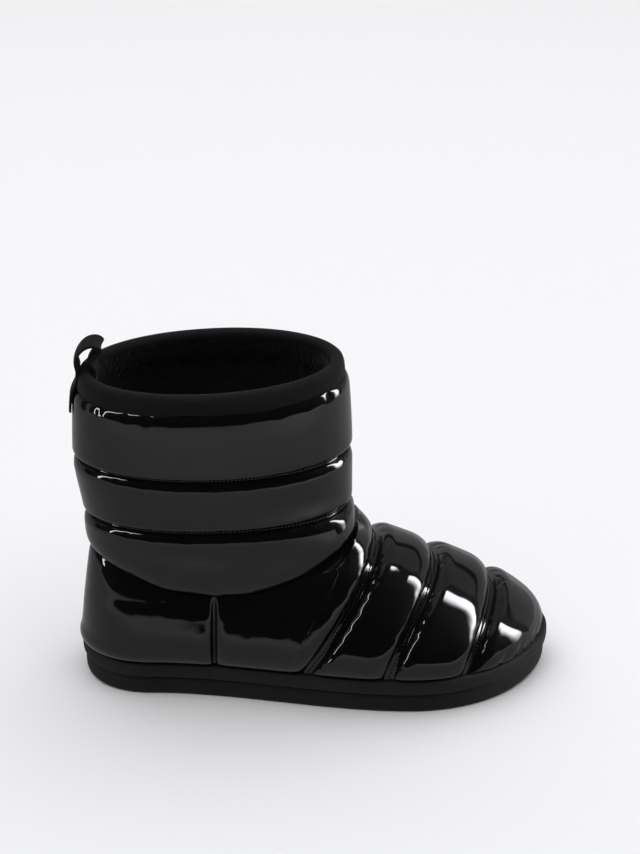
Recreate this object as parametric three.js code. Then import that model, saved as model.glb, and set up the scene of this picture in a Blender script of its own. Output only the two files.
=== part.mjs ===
import * as THREE from "three";

// Quilted ankle boot for the right foot: a padded patent upper on a flat foam sole.
// X runs to the toe, Y to the inner side of the foot, Z up. The sole stands on z = 0
// and the origin lies on the floor under the middle of the sole's length.

// Driving sizes in millimetres

const soleLength = 284;
const ballWidth = 115;
const heelWidth = 80;
const outsoleHeight = 12;
const midsoleHeight = 9;
const toeSpring = 4;
const toeSpringRun = 46;
const toeBandRise = 2.6;
const heelBevel = 2;
const heelBevelRun = 24;
const soleEdgeRound = 2.4;
const ledge = 2.5;
const lipOverhang = 1.8;

const throatHeight = 98;
const shaftHeight = 199.4;
const shaftLength = 154;
const shaftWidth = 85;
const ankleBack = 60.5;
const collarForwardRise = 8;
const collarOuterDrop = 9;
const lowerRingHeight = 111;
const lowerRingRise = 5;
const upperRingHeight = 146.5;
const scoopHeight = 65.3;
const scoopBackHeight = 86;
const sideSeamBack = 60;

const wall = 5;
const puff = 5.2;
const puffRound = 13;
const vampShoulder = 8;
const quarterTuck = 9;
const heelFlat = 40;
const scoopRound = 6;
const quarterCrown = 40;
const channelPuff = 3.4;
const channelTuck = 3.5;
const lowerPuff = 4.4;
const lowerTuck = 13;
const channelShoulder = 6.5;
const ringGap = 1;
const seamStrip = 6;
const sideSeamStrip = 2;
const sideSeamRound = 8;

const bindingHeight = 10.5;
const bindingInside = 9;
const ribbonThickness = 1.2;
const loopWidth = 15;
const loopRise = 15.8;
const loopReach = 14.6;
const loopOuterLeg = 25;
const loopInnerLeg = 14;
const insoleHeight = 5;
const fit = 0.3;
const insoleFit = 1.6;
const wallSlant = 1.25;

const soleTop = outsoleHeight + midsoleHeight;
const halfSole = soleLength / 2;
const halfBall = ballWidth / 2;
const halfHeel = heelWidth / 2;
const halfShaft = shaftLength / 2;
const halfShaftWidth = shaftWidth / 2;

function clamp01(t) {
  return Math.min(1, Math.max(0, t));
}

function mix(a, b, t) {
  return a + (b - a) * t;
}

function smooth(t) {
  const s = clamp01(t);
  return s * s * (3 - 2 * s);
}

// A quarter circle over 0..1: steep at a seam and level on top of the padding
function roundEdge(t) {
  return Math.sqrt(1 - (1 - clamp01(t)) ** 2);
}

// Monotone cubic through points (xs, ys), held level outside them
function curve(xs, ys) {
  const last = xs.length - 1;
  const slope = xs.slice(1).map((x, i) => (ys[i + 1] - ys[i]) / (x - xs[i]));
  const tangent = xs.map((x, i) => {
    if (i === 0) return slope[0];
    if (i === last) return slope[last - 1];
    if (slope[i - 1] * slope[i] <= 0) return 0;
    return 2 / (1 / slope[i - 1] + 1 / slope[i]);
  });
  return (x) => {
    if (x <= xs[0]) return ys[0];
    if (x >= xs[last]) return ys[last];
    const i = xs.findIndex((edge) => edge > x) - 1;
    const run = xs[i + 1] - xs[i];
    const t = (x - xs[i]) / run;
    const start = (1 + 2 * t) * (1 - t) ** 2 * ys[i] + t * (1 - t) ** 2 * run * tangent[i];
    const end = t * t * (3 - 2 * t) * ys[i + 1] - t * t * (1 - t) * run * tangent[i + 1];
    return start + end;
  };
}

// Level sections of the foot from the sole to the throat. Level is the share of that rise.
// Lengths are shares of half the sole, widths of half the ball or heel width, and the toe's
// turn towards the inner side is a share of the ball width.
const footColumns = ["level", "back", "heelAt", "outerAt", "innerAt", "front", "heel", "outer", "inner", "turn"];
const footSections = [
  [0.0, -0.982, -0.69, 0.394, 0.53, 0.982, 0.945, 1.026, 0.878, 0.096],
  [0.055, -0.988, -0.688, 0.374, 0.51, 0.961, 0.946, 1.019, 0.872, 0.093],
  [0.182, -0.972, -0.683, 0.324, 0.46, 0.908, 0.939, 0.99, 0.85, 0.087],
  [0.377, -0.961, -0.669, 0.197, 0.32, 0.771, 0.896, 0.87, 0.79, 0.07],
  [0.532, -0.953, -0.634, 0.042, 0.15, 0.63, 0.868, 0.765, 0.725, 0.048],
  [0.688, -0.947, -0.577, -0.113, -0.05, 0.426, 0.869, 0.7, 0.69, 0.026],
  [0.844, -0.944, -0.507, -0.261, -0.22, 0.236, 0.922, 0.69, 0.69, 0.009],
];

// Level sections of the shaft from the throat to the collar, as shares of that rise and of
// half the shaft's length and width, measured from the ankle's axis.
const shaftColumns = ["level", "back", "front", "half"];
const shaftSections = [
  [0.0, -0.948, 1.071, 0.97],
  [0.12, -0.967, 1.02, 0.995],
  [0.48, -1.03, 1.017, 1.035],
  [0.72, -1.022, 1.003, 1.035],
  [1.0, -0.985, 0.97, 0.99],
];
const heelRound = 2.1;
const toeRound = 2.0;
const throatRound = 2.6;
const throatRoundRise = 18;
const throatRoundFall = 30;
const innerHeelLag = 0.3;

function named(columns, row) {
  return Object.fromEntries(columns.map((name, i) => [name, row[i]]));
}

function footRow(values) {
  const row = named(footColumns, values);
  return {
    z: mix(soleTop, throatHeight, row.level),
    back: row.back * halfSole,
    heelAt: row.heelAt * halfSole,
    outerAt: row.outerAt * halfSole,
    innerAt: row.innerAt * halfSole,
    front: row.front * halfSole,
    heel: row.heel * halfHeel,
    outer: row.outer * halfBall,
    inner: row.inner * halfBall,
    turn: row.turn * ballWidth,
  };
}

function shaftRow(values) {
  const row = named(shaftColumns, values);
  return {
    z: mix(throatHeight, shaftHeight, row.level),
    back: -ankleBack + row.back * halfShaft,
    heelAt: -ankleBack,
    outerAt: -ankleBack,
    innerAt: -ankleBack,
    front: -ankleBack + row.front * halfShaft,
    heel: row.half * halfShaftWidth,
    outer: row.half * halfShaftWidth,
    inner: row.half * halfShaftWidth,
    turn: 0,
  };
}

const sectionRows = [...footSections.map(footRow), ...shaftSections.map(shaftRow)];

function column(name) {
  return curve(
    sectionRows.map((row) => row.z),
    sectionRows.map((row) => row[name]),
  );
}

const section = Object.fromEntries(Object.keys(sectionRows[0]).map((name) => [name, column(name)]));

// The front of a section is an ellipse, a little squarer round the throat
function frontRound(z) {
  const near = smooth((z - throatHeight) / throatRoundRise + 1) * (1 - smooth((z - throatHeight) / throatRoundFall));
  return mix(toeRound, throatRound, near);
}

// y of the level surface that the seams lie on, at x and height z, on the outer (-1) or
// inner (+1) side: a width that grows from heel to ball, closed by superellipses.
function sideY(x, z, side) {
  const heelAt = section.heelAt(z);
  const widest = side < 0 ? section.outerAt(z) : section.innerAt(z);
  const start = side < 0 ? heelAt : mix(heelAt, widest, innerHeelLag);
  const spread = smooth((x - start) / Math.max(widest - start, 1));
  const half = mix(section.heel(z), side < 0 ? section.outer(z) : section.inner(z), spread);
  const toe = clamp01((x - widest) / (section.front(z) - widest));
  const heel = clamp01((heelAt - x) / (heelAt - section.back(z)));
  const front = frontRound(z);
  const close = (1 - toe ** front) ** (1 / front) * (1 - heel ** heelRound) ** (1 / heelRound);
  return section.turn(z) * toe ** 2 + side * half * close;
}

// Height of the sole's top under the upper, lifted a little at the heel and the toe
function toeLift(x) {
  return clamp01((x - halfSole + toeSpringRun) / toeSpringRun) ** 2;
}

function heelLift(x) {
  return clamp01((heelBevelRun - halfSole - x) / heelBevelRun) ** 2;
}

function soleTopAt(x) {
  return soleTop + toeBandRise * toeLift(x) + heelBevel * heelLift(x);
}

// The scooped seam between foot and shaft seen from the side. Along is the share of the way
// from the heel's back to the throat, climb the share of the rise from its lowest point.
const scoopBehind = [
  { along: 0, climb: 1 },
  { along: 0.064, climb: 0.79 },
  { along: 0.18, climb: 0.47 },
  { along: 0.32, climb: 0.12 },
  { along: 0.474, climb: 0 },
];
const scoopAhead = [
  { along: 0.474, climb: 0 },
  { along: 0.61, climb: 0.086 },
  { along: 0.756, climb: 0.345 },
  { along: 0.897, climb: 0.62 },
  { along: 0.981, climb: 0.86 },
  { along: 1, climb: 1 },
];
const lowest = scoopAhead[0].along;
const climbBehind = curve(scoopBehind.map((row) => row.along), scoopBehind.map((row) => row.climb));
const climbAhead = curve(scoopAhead.map((row) => row.along), scoopAhead.map((row) => row.climb));
const scoopBack = section.back(scoopBackHeight);
const throatFront = section.front(throatHeight);

function scoopAt(x) {
  const along = clamp01((x - scoopBack) / (throatFront - scoopBack));
  if (along < lowest) return mix(scoopHeight, scoopBackHeight, climbBehind(along));
  return mix(scoopHeight, throatHeight, climbAhead(along));
}

// The slanted vamp seams seen from the side: where each leaves the sole as a share of half
// its length, its lean forward per unit of rise, and the growth of that lean up to the throat.
const vampSeams = [
  { foot: -0.042, lean: 0.66, bend: 0 },
  { foot: 0.297, lean: 0.288, bend: 0.5 },
  { foot: 0.625, lean: 0.363, bend: 0.5 },
];

function seamLine(seam, shift) {
  return (z) => {
    const rise = z - soleTop;
    const lean = seam.lean + (seam.bend * rise) / (throatHeight - soleTop);
    return seam.foot * halfSole + lean * rise + shift;
  };
}

function solve(miss, low, high) {
  let [a, b] = [low, high];
  for (let step = 0; step < 50; step += 1) {
    const middle = (a + b) / 2;
    if (miss(middle) > 0) a = middle;
    else b = middle;
  }
  return (a + b) / 2;
}

// Panels of the foot from heel to toe. Left and right are their edge lines seen from the
// side, pinch is how far the padding falls at each edge, round its edge radius.
const tip = solve((x) => section.front(soleTopAt(x) + fit) - x, 0, soleLength);
const sideLine = (shift) => () => -sideSeamBack + shift;
const halfStrip = seamStrip / 2;
const halfSideStrip = sideSeamStrip / 2;
const even = [0, 0.03, 0.09, 0.18, 0.38, 0.6, 0.8, 0.93, 1];
const quarter = {
  left: section.back,
  right: sideLine(-halfSideStrip),
  shares: [0, 0.012, 0.05, 0.12, 0.22, 0.38, 0.58, 0.78, 0.92, 1],
  pinch: [0.8, 0.7],
  round: [heelFlat, sideSeamRound],
  tuck: quarterTuck,
  crown: quarterCrown,
  swell: 1.15,
};
const waist = {
  left: sideLine(halfSideStrip),
  right: seamLine(vampSeams[0], -halfStrip),
  pinch: [0.7, 1],
  round: [sideSeamRound, puffRound],
  tuck: puffRound,
  crown: quarterCrown,
  swell: 1.15,
};
const vampPanels = [0, 1].map((i) => ({
  left: seamLine(vampSeams[i], halfStrip),
  right: seamLine(vampSeams[i + 1], -halfStrip),
  shares: even,
  pinch: [1, 1],
  round: [vampShoulder, puffRound],
  tuck: puffRound,
  crown: scoopRound,
  swell: 1.1,
}));
const toePanel = {
  left: seamLine(vampSeams[2], halfStrip),
  right: () => tip,
  shares: [0, 0.03, 0.09, 0.18, 0.32, 0.46, 0.61, 0.75, 0.87, 0.95, 0.985, 0.997],
  pinch: [1, 0],
  round: [vampShoulder, puffRound],
  tuck: puffRound,
  crown: scoopRound,
  swell: 1.1,
};

// The waist's columns meet the scooped seam up to the throat, then the ridge of the vamp
const throatSteps = 7;
const waistShares = [];
for (let i = 0; i <= throatSteps; i += 1) {
  const share = Math.sin((Math.PI / 2) * (i / throatSteps));
  const x = mix(waist.left(0), throatFront, share);
  const z = scoopAt(x);
  waistShares.push((x - waist.left(z)) / (waist.right(z) - waist.left(z)));
}
const throatShare = waistShares[throatSteps];
waist.shares = [...waistShares, ...[0.3, 0.6, 0.84, 1].map((share) => mix(throatShare, 1, share))];

const panels = [quarter, waist, ...vampPanels, toePanel];
const footLines = panels.flatMap((panel) => panel.shares.map((share) => ({
  panel,
  share,
  onRing: panel === quarter || (panel === waist && share <= throatShare),
  closes: panel !== quarter && (panel !== waist || share >= throatShare),
  xAt: (z) => mix(panel.left(z), panel.right(z), share),
})));

function distance(a, b) {
  return Math.hypot(a[0] - b[0], a[1] - b[1], a[2] - b[2]);
}

const denseSteps = 90;

// Running length along a row of points
function lengths(points) {
  const sums = [0];
  for (let i = 1; i < points.length; i += 1) sums.push(sums[i - 1] + distance(points[i - 1], points[i]));
  return sums;
}

// Points of one line of the foot from the sole to the scoop or the ridge, at shares of its length
function footPoints(line, side, shares) {
  const reach = (z) => (line.onRing ? scoopAt(line.xAt(z)) - z : section.front(z) - line.xAt(z));
  const low = solve((z) => soleTopAt(line.xAt(z)) + fit - z, 0, throatHeight);
  const high = solve(reach, low, throatHeight);
  const dense = [];
  for (let i = 0; i <= denseSteps; i += 1) {
    const z = mix(low, high, 1 - (1 - i / denseSteps) ** 2);
    const x = line.xAt(z);
    dense.push([x, sideY(x, z, side), z]);
  }
  if (line.closes) dense[denseSteps][1] = section.turn(high);
  const sums = lengths(dense);
  return shares.map((share) => {
    const at = share * sums[denseSteps];
    const i = Math.max(sums.findIndex((sum) => sum >= at), 1);
    const t = (at - sums[i - 1]) / (sums[i] - sums[i - 1]);
    return dense[i].map((value, axis) => mix(dense[i - 1][axis], value, t));
  });
}

// A skin is a welded grid of points with the padding's height at each, later thickened
class Skin {
  constructor() {
    this.points = [];
    this.swell = [];
    this.rim = [];
    this.faces = [];
    this.index = new Map();
  }

  add(point, swell, rim) {
    const key = point.map((value) => Math.round(value * 1e4)).join();
    if (!this.index.has(key)) {
      this.index.set(key, this.points.length);
      this.points.push(point);
      this.swell.push(swell);
      this.rim.push(rim);
    }
    return this.index.get(key);
  }

  face(a, b, c, flip) {
    if (a === b || b === c || a === c) return;
    this.faces.push(flip ? [a, c, b] : [a, b, c]);
  }

  // Quads between neighbouring columns of indices, each cut along its shorter diagonal and
  // facing out on the given side
  grid(columns, side) {
    for (let i = 1; i < columns.length; i += 1) {
      for (let j = 1; j < columns[i].length; j += 1) {
        const [a, b] = [columns[i - 1][j - 1], columns[i][j - 1]];
        const [c, d] = [columns[i][j], columns[i - 1][j]];
        const span = (p, q) => distance(this.points[p], this.points[q]);
        const [p, q, r, s] = span(a, c) <= span(b, d) ? [a, b, c, d] : [b, c, d, a];
        this.face(p, q, r, side > 0);
        this.face(p, r, s, side > 0);
      }
    }
  }

  // Boundary edges: those that only one face uses
  rims() {
    const edges = new Map();
    for (const [a, b, c] of this.faces) {
      for (const [p, q] of [[a, b], [b, c], [c, a]]) {
        if (!edges.delete(`${q},${p}`)) edges.set(`${p},${q}`, [p, q]);
      }
    }
    return [...edges.values()];
  }

  // Unit directions across the wall: square to the skin, level along its rims
  directions() {
    const normals = this.points.map(() => new THREE.Vector3());
    for (const [a, b, c] of this.faces) {
      const [p, q, r] = [a, b, c].map((i) => new THREE.Vector3(...this.points[i]));
      const area = q.sub(p).cross(r.sub(p));
      for (const i of [a, b, c]) normals[i].add(area);
    }
    normals.forEach((normal, i) => {
      normal.normalize();
      normal.z *= smooth(this.rim[i] / puffRound);
    });
    const level = new Map();
    for (const [p, q] of this.rims()) {
      const [from, to] = [this.points[p], this.points[q]];
      for (const i of [p, q]) {
        const sum = level.get(i) ?? [0, 0];
        level.set(i, [sum[0] + to[0] - from[0], sum[1] + to[1] - from[1]]);
      }
    }
    for (const [i, [dx, dy]] of level) {
      const out = new THREE.Vector3(dy, -dx, 0);
      if (out.dot(normals[i]) < 0) out.negate();
      normals[i].copy(out);
    }
    return normals.map((normal) => normal.normalize().toArray());
  }
}

// The outer skin swells by its padding and the inner one lies a wall inside; rims join them
function thicken(outer, inner) {
  const outward = outer.directions();
  const inward = inner.directions();
  const shift = (point, direction, by) => point.map((value, axis) => value + direction[axis] * by);
  const points = outer.points.map((point, i) => shift(point, outward[i], outer.swell[i]));
  const first = points.length;
  const faces = [...outer.faces];
  for (const [a, b, c] of inner.faces) faces.push([first + a, first + c, first + b]);
  for (const [p, q] of outer.rims()) {
    const [r, s] = [p, q].map((i) => first + inner.add(outer.points[i], 0, 0));
    const forward = outer.points[p][0] < outer.points[q][0];
    faces.push(...(forward ? [[q, p, r], [q, r, s]] : [[q, p, s], [p, r, s]]));
  }
  points.push(...inner.points.map((point, i) => shift(point, inward[i], -wall)));
  return { points, faces };
}

// The collar stands a little higher in front and on the inner side
function settle([x, y, z]) {
  const lift = smooth((z - throatHeight) / (shaftHeight - throatHeight));
  const slope = (collarForwardRise * (x + ankleBack)) / shaftLength + (collarOuterDrop * y) / shaftWidth;
  return [x, y, z + lift * slope];
}

function mesh(name, { points, faces }, color, roughness) {
  const geometry = new THREE.BufferGeometry();
  geometry.setAttribute("position", new THREE.Float32BufferAttribute(points.flatMap(settle), 3));
  geometry.setIndex(faces.flat());
  geometry.computeVertexNormals();
  const material = new THREE.MeshStandardMaterial({ color, roughness, metalness: 0 });
  const piece = new THREE.Mesh(geometry, material);
  piece.name = name;
  return piece;
}

// The foot: every line on both sides, closed by the toe's tip
function fall(gap, pinch, round) {
  return 1 - pinch * (1 - roundEdge(gap / round));
}

function footSkin(shares) {
  const skin = new Skin();
  const throat = [throatFront, 0, throatHeight];
  const tipPoint = [tip, section.turn(soleTopAt(tip) + fit), soleTopAt(tip) + fit];
  for (const side of [-1, 1]) {
    const lines = footLines.map((line) => footPoints(line, side, shares));
    const across = shares.map((_, j) => lengths(lines.map((points) => points[j])));
    const columns = footLines.map((line, i) => {
      const { panel } = line;
      const first = footLines.findIndex((other) => other.panel === panel);
      const last = first + panel.shares.length - 1;
      const up = lengths(lines[i]);
      return lines[i].map((point, j) => {
        const low = point[2] - lines[i][0][2];
        const high = line.onRing ? up.at(-1) - up[j] : distance(point, throat);
        const left = fall(across[j][i] - across[j][first], panel.pinch[0], panel.round[0]);
        const right = fall(across[j][last] - across[j][i], panel.pinch[1], panel.round[1]);
        const ends = roundEdge(low / panel.tuck) * roundEdge(high / panel.crown);
        const drop = line.onRing && j === shares.length - 1 ? fit / 2 : 0;
        const seated = [point[0], point[1], point[2] - drop];
        return skin.add(seated, puff * panel.swell * left * right * ends, Math.min(low, high));
      });
    });
    const last = skin.add(tipPoint, 0, 0);
    columns.push(shares.map(() => last));
    skin.grid(columns, side);
  }
  return skin;
}

const upper = thicken(
  footSkin([0, 0.035, 0.1, 0.2, 0.34, 0.5, 0.66, 0.8, 0.9, 0.965, 1]),
  footSkin([0, 0.1, 0.25, 0.45, 0.65, 0.85, 1]),
);

// The shaft stands on the scooped seam. Its columns lean evenly from back to front.
function shaftPoint(share, side, z) {
  const front = z < throatHeight ? throatFront : section.front(z);
  const x = mix(section.back(z), front, share);
  const y = share === 0 || share === 1 ? 0 : sideY(x, z, side);
  return [x, y, z];
}

const ringLines = footLines.filter((line) => line.onRing);
const collarHeight = shaftHeight - ribbonThickness - fit;
const cuffHeight = shaftHeight - bindingHeight;
const channelShares = [0, 0.02, 0.055, 0.11, 0.4, 0.8, 0.88, 0.94, 0.98, 1];

function shaftColumn(line, side) {
  const [x, , z] = footPoints(line, side, [1])[0];
  const back = section.back(z);
  const share = line.closes ? 1 : line.share === 0 && line.panel === quarter ? 0 : (x - back) / (throatFront - back);
  const lower = lowerRingHeight + (lowerRingRise * (x + ankleBack)) / shaftLength;
  return { share, side, marks: [z + fit / 2, lower, upperRingHeight, cuffHeight, collarHeight] };
}

function shaftSkin(rowsOf) {
  const skin = new Skin();
  for (const side of [-1, 1]) {
    const columns = ringLines.map((line) => {
      const column = shaftColumn(line, side);
      return rowsOf(column).map(([z, swell]) => skin.add(shaftPoint(column.share, side, z), swell, shaftHeight));
    });
    skin.grid(columns, side);
  }
  return skin;
}

// Padding of a channel between its ring seams: a round shoulder on top and a tight tuck below
function channelPadding(z, from, to, height = channelPuff, tuck = channelTuck) {
  return height * roundEdge((z - from) / tuck) * roundEdge((to - z) / channelShoulder);
}

// Rows of the three padded channels
function channelRows({ marks }) {
  const [ring, lower, middle, cuff, collar] = marks;
  const channels = [[ring, lower - ringGap, lowerPuff, lowerTuck], [lower, middle - ringGap], [middle, cuff]];
  const rows = channels.flatMap(([from, to, height, tuck]) => channelShares.map((share) => {
    const z = mix(from, to, share);
    return [z, channelPadding(z, from, to, height, tuck)];
  }));
  return [...rows, [collar, 0]];
}

const shaft = thicken(
  shaftSkin(channelRows),
  shaftSkin(({ marks }) => marks.map((z) => [z, 0])),
);

// Outward level directions of a closed loop of points
function loopDirections(loop) {
  return loop.map((_, i) => {
    const next = loop[(i + 1) % loop.length];
    const previous = loop.at(i - 1);
    const [dx, dy] = [next[0] - previous[0], next[1] - previous[1]];
    const size = Math.hypot(dx, dy);
    return [dy / size, -dx / size];
  });
}

// Faces of a closed tube: rings of equal length, each joined to the next
function tubeFaces(rings, ringSize) {
  const faces = [];
  for (let i = 0; i < rings; i += 1) {
    for (let j = 0; j < ringSize; j += 1) {
      const [a, b] = [i * ringSize + j, ((i + 1) % rings) * ringSize + j];
      const [c, d] = [i, (i + 1) % rings].map((ring) => ring * ringSize + ((j + 1) % ringSize));
      faces.push([a, b, d], [a, d, c]);
    }
  }
  return faces;
}

// Collar binding: ribbon folded over the wall. Out is measured from the shaft's level surface.
const bindingProfile = [
  [fit + ribbonThickness, -bindingHeight],
  [fit + ribbonThickness, -2.2 * ribbonThickness],
  [fit + 0.2 * ribbonThickness, -0.5 * ribbonThickness],
  [-wall / 2, 0],
  [-wall - fit - 0.2 * ribbonThickness, -0.5 * ribbonThickness],
  [-wall - fit - ribbonThickness, -2.2 * ribbonThickness],
  [-wall - fit - ribbonThickness, -bindingInside],
  [-wall - fit, -bindingInside],
  [-wall - fit, -ribbonThickness],
  [fit, -ribbonThickness],
  [fit, -bindingHeight],
];
const collarColumns = [
  ...ringLines.map((line) => shaftColumn(line, -1)),
  ...ringLines.slice(1, -1).reverse().map((line) => shaftColumn(line, 1)),
];
const collarLoop = collarColumns.map(({ share, side }) => shaftPoint(share, side, collarHeight));
const collarOut = loopDirections(collarLoop);
const collarBinding = {
  points: collarColumns.flatMap(({ share, side }, i) => bindingProfile.map(([out, up]) => {
    const [x, y, z] = shaftPoint(share, side, shaftHeight + up);
    return [x + out * collarOut[i][0], y + out * collarOut[i][1], z];
  })),
  faces: tubeFaces(collarColumns.length, bindingProfile.length),
};

// Pull loop: ribbon over the back of the collar. Reach goes inwards, rise above the fold.
const loopArch = [
  { reach: -0.03, rise: 0.12 },
  { reach: -0.06, rise: 0.36 },
  { reach: 0.06, rise: 0.7 },
  { reach: 0.38, rise: 0.96 },
  { reach: 0.74, rise: 1 },
  { reach: 0.98, rise: 0.84 },
  { reach: 0.86, rise: 0.66 },
  { reach: 0.65, rise: 0.54 },
  { reach: 0.5, rise: 0.38 },
  { reach: 0.57, rise: 0.24 },
  { reach: 0.7, rise: 0.13 },
];
const stackOut = 2 * fit + 1.5 * ribbonThickness;
const legOut = section.back(shaftHeight) - stackOut;
const innerLegAt = (z) => section.back(z) + wall + stackOut + 2 * fit;

function backPadding(z) {
  return channelPadding(z, upperRingHeight, cuffHeight);
}

const legShares = [0, 0.12, 0.24, 0.36, 0.48, 0.6, 0.75, 1];
const outerLeg = legShares.map((share) => {
  const z = mix(shaftHeight - loopOuterLeg, shaftHeight, share);
  const over = Math.max(backPadding(z - 2 * ribbonThickness) - ribbonThickness, 0);
  return [section.back(z) - stackOut - over, z];
});
const innerLeg = [0, 0.5, 1].map((share) => {
  const z = shaftHeight - share * loopInnerLeg;
  return [innerLegAt(z), z];
});
const arch = loopArch.map(({ reach, rise }) => [legOut + reach * loopReach, shaftHeight + rise * loopRise]);
const loopPath = [...outerLeg, ...arch, ...innerLeg].map(([x, z]) => new THREE.Vector3(x, 0, z));
const loopCurve = new THREE.CatmullRomCurve3(loopPath, false, "centripetal");
const loopSteps = 30;
const acrossShares = [-1, -0.5, 0, 0.5, 1];

// How far the back's round outline stands in from its middle at a share of the ribbon's width
function backSag(share) {
  const turn = Math.abs((share * loopWidth) / 2 / section.heel(shaftHeight)) ** heelRound;
  return (section.heelAt(shaftHeight) - section.back(shaftHeight)) * (1 - (1 - turn) ** (1 / heelRound));
}

function pullLoop() {
  const points = [];
  for (let i = 0; i <= loopSteps; i += 1) {
    const at = loopCurve.getPointAt(i / loopSteps);
    const along = loopCurve.getTangentAt(i / loopSteps);
    const ring = acrossShares.map((share) => [share, 0.5]);
    ring.push(...[...acrossShares].reverse().map((share) => [share, -0.5]));
    for (const [share, half] of ring) {
      const off = half * ribbonThickness;
      const x = at.x + backSag(share) - along.z * off;
      points.push([x, (share * loopWidth) / 2, at.z + along.x * off]);
    }
  }
  const size = 2 * acrossShares.length;
  const faces = tubeFaces(loopSteps + 1, size).slice(0, 2 * size * loopSteps);
  const end = size * loopSteps;
  for (let j = 1; j < acrossShares.length; j += 1) {
    const [a, b, c, d] = [j - 1, j, size - 1 - j, size - j];
    faces.push([a, b, c], [a, c, d]);
    faces.push([end + a, end + c, end + b], [end + a, end + d, end + c]);
  }
  return { points, faces };
}

// Plan outline of the upper's level surface at a height, and its directions outwards
const planSteps = 36;

function planOutline(z) {
  const along = (i) => mix(section.back(z), section.front(z), (1 - Math.cos((Math.PI * i) / planSteps)) / 2);
  const loop = [];
  for (let i = 0; i <= planSteps; i += 1) loop.push([along(i), sideY(along(i), z, -1)]);
  for (let i = planSteps - 1; i > 0; i -= 1) loop.push([along(i), sideY(along(i), z, 1)]);
  return { loop, outward: loopDirections(loop) };
}

// A plate from rings, lower face to upper face: each is the plan outline at its own level,
// moved out and set at a height that may change along x
function plate(rings) {
  const size = 2 * planSteps;
  const points = rings.flatMap(({ out, height, level }) => {
    const { loop, outward } = planOutline(level ?? soleTop);
    return loop.map(([px, py], i) => {
      const [x, y] = [px + out * outward[i][0], py + out * outward[i][1]];
      return [x, y, height(x)];
    });
  });
  const faces = [];
  for (let ring = 1; ring < rings.length; ring += 1) {
    for (let i = 0; i < size; i += 1) {
      const [a, b] = [i, (i + 1) % size].map((j) => (ring - 1) * size + j);
      faces.push([a, b, b + size], [a, b + size, a + size]);
    }
  }
  const top = (rings.length - 1) * size;
  for (let i = 0; i < planSteps; i += 1) {
    const [a, b, c, d] = [i, i + 1, (size - i - 1) % size, (size - i) % size];
    if (i < planSteps - 1) {
      faces.push([a, c, b]);
      faces.push([top + a, top + b, top + c]);
    }
    if (i > 0) {
      faces.push([a, d, c]);
      faces.push([top + a, top + c, top + d]);
    }
  }
  return { points, faces };
}

const floorAt = (x) => toeSpring * toeLift(x) + heelBevel * heelLift(x);
const parting = (x) => outsoleHeight + mix(toeSpring, toeBandRise, 0.5) * toeLift(x) + heelBevel * heelLift(x);
const outsoleOut = ledge - lipOverhang;
const outsole = plate([
  { out: outsoleOut - soleEdgeRound, height: floorAt },
  { out: outsoleOut - 0.35 * soleEdgeRound, height: (x) => floorAt(x) + 0.3 * soleEdgeRound },
  { out: outsoleOut, height: (x) => floorAt(x) + soleEdgeRound },
  { out: outsoleOut, height: (x) => parting(x) - fit },
]);
const midsole = plate([
  { out: outsoleOut, height: parting },
  { out: ledge - 0.3 * lipOverhang, height: (x) => mix(parting(x), soleTopAt(x), 0.08) },
  { out: ledge, height: (x) => mix(parting(x), soleTopAt(x), 0.35) },
  { out: ledge - 0.15 * lipOverhang, height: (x) => mix(parting(x), soleTopAt(x), 0.85) },
  { out: ledge - 0.6 * lipOverhang, height: soleTopAt },
]);
const insoleRings = [
  { out: -insoleFit, up: 0 },
  { out: -insoleFit - 0.2 * insoleHeight, up: 0.55 },
  { out: -insoleFit - 0.7 * insoleHeight, up: 1 },
];
const insole = plate(insoleRings.map(({ out, up }) => ({
  out: out - wall * wallSlant,
  level: soleTop + up * insoleHeight,
  height: (x) => soleTopAt(x) + fit + up * insoleHeight,
})));

const boot = new THREE.Group();
boot.add(
  mesh("outsole", outsole, 0x161616, 0.95),
  mesh("midsole", midsole, 0x1e1e1e, 0.9),
  mesh("insole", insole, 0x131413, 1),
  mesh("upper", upper, 0x0a0a0b, 0.12),
  mesh("shaft", shaft, 0x0a0a0b, 0.12),
  mesh("collar_binding", collarBinding, 0x1e1e1f, 0.85),
  mesh("pull_loop", pullLoop(), 0x1e1e1f, 0.85),
);

export default boot;
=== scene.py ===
# %% [markdown]
# A quilted ankle boot for the right foot, in black patent faux leather on a flat foam sole.
# The CAD model gives the last, the sole and the seams. This script dresses it: the leather's
# padding and puckers, the fleece inside, the ribbon round the collar and the foam's skin.
# Everything here is worked out in millimetres and becomes metres when a mesh is made.

import bpy
import numpy as np
from mathutils import Matrix, Vector


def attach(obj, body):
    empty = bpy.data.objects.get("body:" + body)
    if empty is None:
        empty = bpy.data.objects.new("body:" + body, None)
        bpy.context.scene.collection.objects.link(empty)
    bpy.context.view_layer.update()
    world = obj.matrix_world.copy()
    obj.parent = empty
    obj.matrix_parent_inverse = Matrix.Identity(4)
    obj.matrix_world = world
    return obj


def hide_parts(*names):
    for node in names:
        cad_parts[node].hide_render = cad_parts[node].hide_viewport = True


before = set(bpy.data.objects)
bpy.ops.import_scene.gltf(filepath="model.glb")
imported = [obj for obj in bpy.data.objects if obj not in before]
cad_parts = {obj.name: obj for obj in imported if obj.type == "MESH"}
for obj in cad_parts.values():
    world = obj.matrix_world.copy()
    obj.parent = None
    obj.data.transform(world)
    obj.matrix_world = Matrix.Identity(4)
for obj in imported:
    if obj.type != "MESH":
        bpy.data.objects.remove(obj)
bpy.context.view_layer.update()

# %% [markdown]
# The camera stands about 1.4 m from the boot, on its outer side, and looks down at 24 degrees.
# Its place was worked out from the sole's and the collar's outlines, so it is a matrix built
# from a place, a line of sight and a small roll.

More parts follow.
